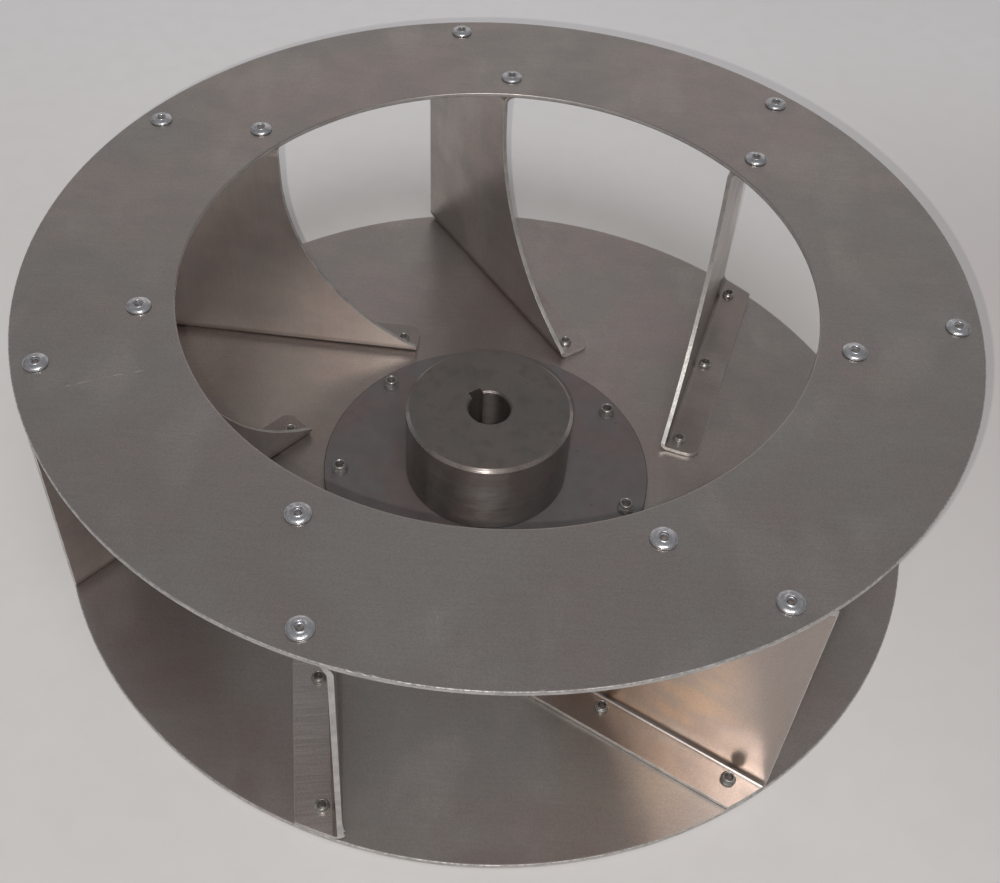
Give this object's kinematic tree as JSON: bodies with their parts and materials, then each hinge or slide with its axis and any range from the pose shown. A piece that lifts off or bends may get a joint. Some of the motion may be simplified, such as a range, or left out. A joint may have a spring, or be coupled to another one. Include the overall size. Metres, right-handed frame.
{
  "type": "blower impeller",
  "caption": "Backward-inclined centrifugal blower impeller of riveted sheet: flat back plate, ring shroud with a round inlet, C-section blades and a keyed steel hub.",
  "frame": {"origin": "on the rotor's axis, in the plane that the rivet heads under the back plate rest on", "axes": "+Z along the rotor's axis, from the back plate to the inlet; +X to the right and +Y away in the picture's view"},
  "size_m": [0.38, 0.38, 0.1265],
  "materials": {
    "back_sheet": "mill-finish sheet, faintly clouded",
    "shroud_sheet": "mill-finish sheet, faintly clouded and scratched",
    "blade_sheet": "mill-finish sheet, bright cut edges",
    "hub_plate_steel": "dull plate with specks",
    "hub_boss_steel": "fine turned",
    "rivet_zinc": "bright zinc plate"
  },
  "bodies": {
    "root": {"back_plate": "back_sheet", "blade_1": "blade_sheet", "blade_2": "blade_sheet", "blade_3": "blade_sheet", "blade_4": "blade_sheet", "blade_5": "blade_sheet", "blade_6": "blade_sheet", "blade_7": "blade_sheet", "hub_boss": "hub_boss_steel", "hub_plate": "hub_plate_steel", "hub_rivet_1": "rivet_zinc", "hub_rivet_2": "rivet_zinc", "hub_rivet_3": "rivet_zinc", "hub_rivet_4": "rivet_zinc", "hub_rivet_5": "rivet_zinc", "hub_rivet_6": "rivet_zinc", "hub_rivet_7": "rivet_zinc", "plate_rivet_inner_1": "rivet_zinc", "plate_rivet_inner_2": "rivet_zinc", "plate_rivet_inner_3": "rivet_zinc", "plate_rivet_inner_4": "rivet_zinc", "plate_rivet_inner_5": "rivet_zinc", "plate_rivet_inner_6": "rivet_zinc", "plate_rivet_inner_7": "rivet_zinc", "plate_rivet_middle_1": "rivet_zinc", "plate_rivet_middle_2": "rivet_zinc", "plate_rivet_middle_3": "rivet_zinc", "plate_rivet_middle_4": "rivet_zinc", "plate_rivet_middle_5": "rivet_zinc", "plate_rivet_middle_6": "rivet_zinc", "plate_rivet_middle_7": "rivet_zinc", "plate_rivet_outer_1": "rivet_zinc", "plate_rivet_outer_2": "rivet_zinc", "plate_rivet_outer_3": "rivet_zinc", "plate_rivet_outer_4": "rivet_zinc", "plate_rivet_outer_5": "rivet_zinc", "plate_rivet_outer_6": "rivet_zinc", "plate_rivet_outer_7": "rivet_zinc", "shroud_ring": "shroud_sheet", "shroud_rivet_inner_1": "rivet_zinc", "shroud_rivet_inner_2": "rivet_zinc", "shroud_rivet_inner_3": "rivet_zinc", "shroud_rivet_inner_4": "rivet_zinc", "shroud_rivet_inner_5": "rivet_zinc", "shroud_rivet_inner_6": "rivet_zinc", "shroud_rivet_inner_7": "rivet_zinc", "shroud_rivet_outer_1": "rivet_zinc", "shroud_rivet_outer_2": "rivet_zinc", "shroud_rivet_outer_3": "rivet_zinc", "shroud_rivet_outer_4": "rivet_zinc", "shroud_rivet_outer_5": "rivet_zinc", "shroud_rivet_outer_6": "rivet_zinc", "shroud_rivet_outer_7": "rivet_zinc"}
  },
  "joints": []
}
